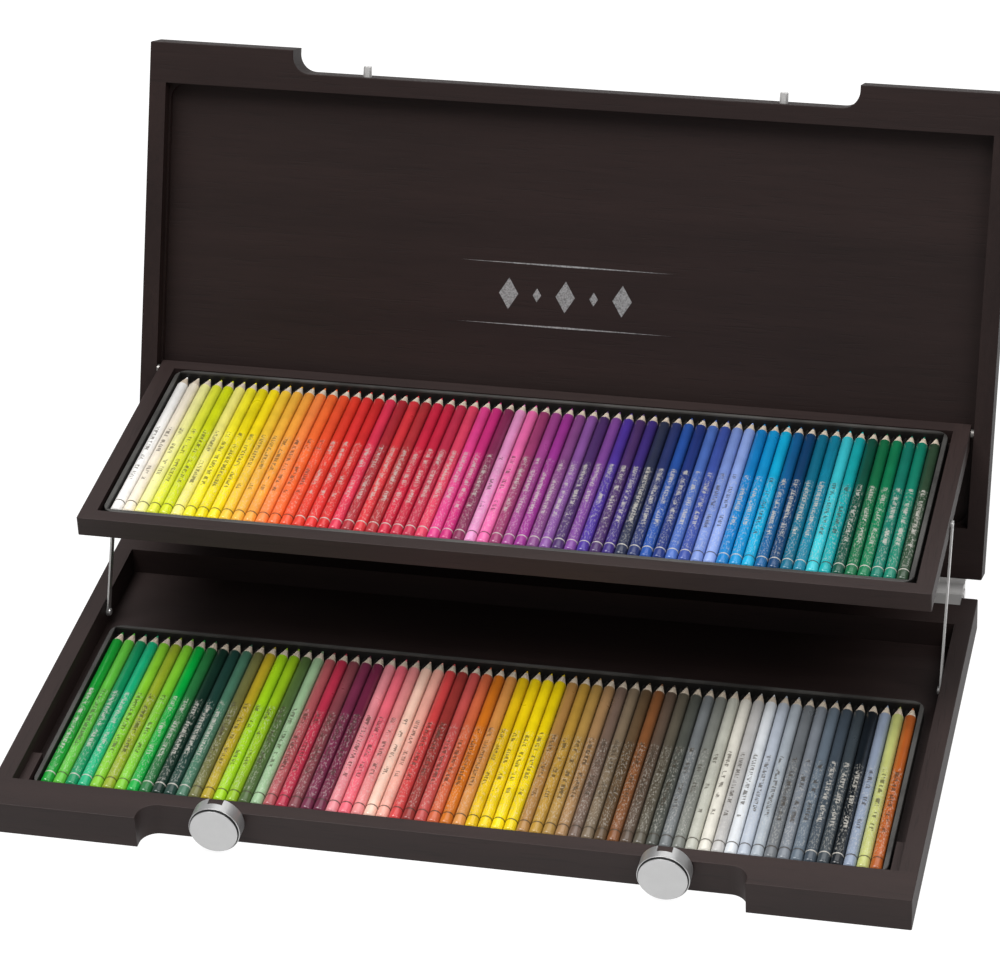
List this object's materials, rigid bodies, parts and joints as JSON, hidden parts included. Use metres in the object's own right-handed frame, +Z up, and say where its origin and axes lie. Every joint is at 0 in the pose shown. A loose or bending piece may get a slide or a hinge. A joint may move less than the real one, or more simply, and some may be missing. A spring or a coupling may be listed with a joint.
{
  "type": "pencil drawer box",
  "caption": "Wooden case for coloured pencils: hinged lid, a pencil tray that swings up on arms, a pencil row in the base and turning lock knobs.",
  "frame": {"origin": "middle of the base's underside, on the surface that the case stands on", "axes": "+X to the right along the case's length, +Y to the back towards the hinges, +Z up"},
  "size_m": [0.6, 0.498, 0.3292],
  "materials": {
    "stained_wood": "dark stained fine-grained wood, satin",
    "black_insert": "moulded black plastic, satin",
    "steel": "satin steel",
    "screw_steel": "plain turned steel",
    "knob_aluminium": "turned satin aluminium",
    "lacquer_lemon_yellow": "round wooden pencil, gloss coloured lacquer",
    "lacquer_orange": "round wooden pencil, gloss coloured lacquer",
    "lacquer_scarlet": "round wooden pencil, gloss coloured lacquer",
    "lacquer_rose_pink": "round wooden pencil, gloss coloured lacquer",
    "lacquer_violet": "round wooden pencil, gloss coloured lacquer",
    "lacquer_deep_blue": "round wooden pencil, gloss coloured lacquer",
    "lacquer_sky_blue": "round wooden pencil, gloss coloured lacquer",
    "lacquer_turquoise_green": "round wooden pencil, gloss coloured lacquer",
    "lacquer_leaf_green": "round wooden pencil, gloss coloured lacquer",
    "lacquer_olive_green": "round wooden pencil, gloss coloured lacquer",
    "lacquer_wine_rose": "round wooden pencil, gloss coloured lacquer",
    "lacquer_ochre_yellow": "round wooden pencil, gloss coloured lacquer",
    "lacquer_earth_brown": "round wooden pencil, gloss coloured lacquer",
    "lacquer_cool_grey": "round wooden pencil, gloss coloured lacquer"
  },
  "bodies": {
    "base": {"base_front_rail": "stained_wood", "base_rear_rail": "stained_wood", "base_left_rail": "stained_wood", "base_right_rail": "stained_wood", "base_floor_panel": "stained_wood", "base_rest_blocks": "stained_wood", "lower_insert": "black_insert", "arm_base_screws": "screw_steel", "hinge_base_leaves": "steel", "hinge_base_screws": "screw_steel", "hinge_pins": "steel", "knob_axles": "screw_steel", "lower_pencils_1": "lacquer_leaf_green", "lower_pencils_2": "lacquer_olive_green", "lower_pencils_3": "lacquer_wine_rose", "lower_pencils_4": "lacquer_ochre_yellow", "lower_pencils_5": "lacquer_earth_brown", "lower_pencils_6": "lacquer_cool_grey"},
    "lid": {"lid_front_rail": "stained_wood", "lid_rear_rail": "stained_wood", "lid_left_rail": "stained_wood", "lid_right_rail": "stained_wood", "lid_top_panel": "stained_wood", "lid_inner_frame": "stained_wood", "lid_lining": "stained_wood", "lid_studs": "steel", "hinge_lid_leaves": "steel", "hinge_lid_screws": "screw_steel", "tray_pivot_pins": "screw_steel"},
    "tray": {"tray_front_rail": "stained_wood", "tray_rear_rail": "stained_wood", "tray_left_rail": "stained_wood", "tray_right_rail": "stained_wood", "tray_floor_panel": "stained_wood", "upper_insert": "black_insert", "arm_tray_pins": "screw_steel", "upper_pencils_1": "lacquer_lemon_yellow", "upper_pencils_2": "lacquer_orange", "upper_pencils_3": "lacquer_scarlet", "upper_pencils_4": "lacquer_rose_pink", "upper_pencils_5": "lacquer_violet", "upper_pencils_6": "lacquer_deep_blue", "upper_pencils_7": "lacquer_sky_blue", "upper_pencils_8": "lacquer_turquoise_green"},
    "left_arm": {"left_arm": "steel"},
    "right_arm": {"right_arm": "steel"},
    "left_knob": {"left_knob": "knob_aluminium"},
    "right_knob": {"right_knob": "knob_aluminium"}
  },
  "joints": [
    {"name": "lid_hinge", "type": "hinge", "parent": "base", "child": "lid", "pos_m": [0, 0.175, 0.0182], "axis": [1, 0, 0], "range_deg": [0, 112.9]},
    {"name": "tray_pivot", "type": "hinge", "parent": "lid", "child": "tray", "pos_m": [0, 0.22491, 0.11631], "axis": [1, 0, 0], "range_deg": [-112.9, 0]},
    {"name": "left_arm_pivot", "type": "hinge", "parent": "base", "child": "left_arm", "pos_m": [-0.2869, 0.07, 0.013], "axis": [1, 0, 0], "range_deg": [0, 112.9]},
    {"name": "right_arm_pivot", "type": "hinge", "parent": "base", "child": "right_arm", "pos_m": [0.2869, 0.07, 0.013], "axis": [1, 0, 0], "range_deg": [0, 112.9]},
    {"name": "left_knob_turn", "type": "hinge", "parent": "base", "child": "left_knob", "pos_m": [-0.145, -0.1579, 0.0182], "axis": [0, 1, 0], "range_deg": [0, 90]},
    {"name": "right_knob_turn", "type": "hinge", "parent": "base", "child": "right_knob", "pos_m": [0.145, -0.1579, 0.0182], "axis": [0, 1, 0], "range_deg": [0, 90]}
  ],
  "couplings": [
    {"joint": "tray_pivot", "follows": "lid_hinge", "ratio": -1},
    {"joint": "left_arm_pivot", "follows": "lid_hinge", "ratio": 1},
    {"joint": "right_arm_pivot", "follows": "lid_hinge", "ratio": 1}
  ]
}
